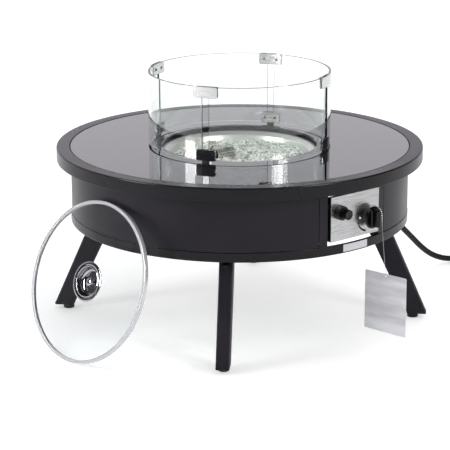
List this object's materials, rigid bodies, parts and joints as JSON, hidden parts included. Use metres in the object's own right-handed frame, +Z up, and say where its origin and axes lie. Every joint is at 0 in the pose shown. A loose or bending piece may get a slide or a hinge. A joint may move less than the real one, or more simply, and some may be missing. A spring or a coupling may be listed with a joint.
{
  "type": "gas fire pit table",
  "caption": "Low round gas fire table with a glass top, a round glass wind guard, splayed legs and a loose lid.",
  "frame": {"origin": "on the floor, on the upright axis of the round table top", "axes": "+Z up; -Y to the front, where the camera of the picture stands about 5 degrees to the right; the legs stand along +X, -X, +Y and -Y"},
  "size_m": [1.1419, 0.9312, 0.5694],
  "materials": {
    "black_steel": "black powder coat, fine texture, satin",
    "black_edge": "black powder coat, satin",
    "table_glass": "dark grey tempered glass, polished",
    "clear_glass": "clear tempered glass with green edges, polished",
    "lid_clear_glass": "clear tempered glass, polished",
    "glass_chips": "clear crushed glass",
    "gasket_rubber": "matte black",
    "pan_steel": "brushed stainless steel",
    "burner_steel": "drawn stainless tube, lightly polished",
    "clip_steel": "satin stainless steel",
    "clip_polished": "polished stainless steel",
    "lid_steel": "polished steel",
    "zinc_steel": "zinc plated",
    "brass": "turned brass",
    "grey_plastic": "matte black moulded",
    "knob_plastic": "satin black moulded",
    "plate_paint": "light grey satin paint",
    "battery_shell": "printed sleeve, satin",
    "ceramic": "unglazed white ceramic",
    "copper": "copper tube, satin",
    "hose_rubber": "smooth black hose",
    "lead_rubber": "black wire sleeve",
    "card": "grey printed card, matte",
    "label_paper": "blank label, satin",
    "foot_plastic": "matte black",
    "housing": "grey die-cast metal, satin",
    "nut_plastic": "black hand nut"
  },
  "bodies": {
    "table": {"rim_ring": "black_edge", "glass_top": "table_glass", "glass_gasket": "gasket_rubber", "top_frame": "black_steel", "burner_pan": "pan_steel", "burner_ring": "burner_steel", "air_mixer": "brass", "gas_tube": "zinc_steel", "fire_glass": "glass_chips", "pilot_hood": "pan_steel", "spark_electrode": "ceramic", "thermocouple": "copper", "panel_front": "black_steel", "panel_right": "black_steel", "panel_back": "black_steel", "control_frame": "black_steel", "bottom_ring": "black_edge", "blank_label": "label_paper", "cross_frame": "black_steel", "leg_front": "black_edge", "leg_right": "black_edge", "leg_back": "black_edge", "leg_left": "black_edge", "leg_bolts": "black_edge", "leg_caps": "foot_plastic", "foot_glides": "foot_plastic", "frame_screws": "zinc_steel", "control_plate": "plate_paint", "heat_shield": "black_steel", "gas_valve": "brass", "valve_screws": "zinc_steel", "igniter_collar": "grey_plastic", "igniter_nut": "grey_plastic", "igniter_battery": "battery_shell", "ignition_lead": "lead_rubber", "inlet_fitting": "brass", "inner_hose": "hose_rubber", "hose_clip": "zinc_steel", "supply_hose": "hose_rubber", "hose_coil": "hose_rubber", "hose_tail": "hose_rubber", "regulator": "housing", "tank_connector": "nut_plastic", "chain_loop": "zinc_steel"},
    "stem": {"valve_stem": "brass"},
    "knob": {"control_knob": "knob_plastic"},
    "button": {"igniter_button": "knob_plastic"},
    "guard": {"guard_pane_front": "clear_glass", "guard_pane_right": "clear_glass", "guard_pane_back": "clear_glass", "guard_pane_left": "clear_glass", "upper_clips": "clip_steel", "lower_clips": "clip_polished", "clip_backs": "clip_steel"},
    "lid": {"lid_glass": "lid_clear_glass", "lid_band": "lid_steel", "lid_cup": "lid_steel", "lid_knob": "lid_steel"},
    "tag": {"hang_tag": "card", "tag_chain": "zinc_steel"}
  },
  "joints": [
    {"name": "stem_push", "type": "slide", "parent": "table", "child": "stem", "axis": [-0.7133, 0.7009, 0], "range_m": [0, 0.0035], "stiffness_N_per_m": 900, "springref_m": -0.004},
    {"name": "knob_turn", "type": "hinge", "parent": "stem", "child": "knob", "pos_m": [0.29659, -0.23748, 0.302], "axis": [0.7133, -0.7009, 0], "range_deg": [0, 168]},
    {"name": "button_push", "type": "slide", "parent": "table", "child": "button", "axis": [-0.7133, 0.7009, 0], "range_m": [0, 0.0045], "stiffness_N_per_m": 700, "springref_m": -0.004},
    {"name": "guard_lift", "type": "slide", "parent": "table", "child": "guard", "axis": [0, 0, 1], "range_m": [0, 0.25]},
    {"name": "lid_away", "type": "slide", "parent": "table", "child": "lid", "axis": [-0.6468, -0.7627, 0], "range_m": [0, 0.3]},
    {"name": "tag_swing", "type": "hinge", "parent": "table", "child": "tag", "pos_m": [0.31338, -0.24893, 0.3285], "axis": [0.7133, -0.7009, 0], "range_deg": [-12, 12]}
  ]
}
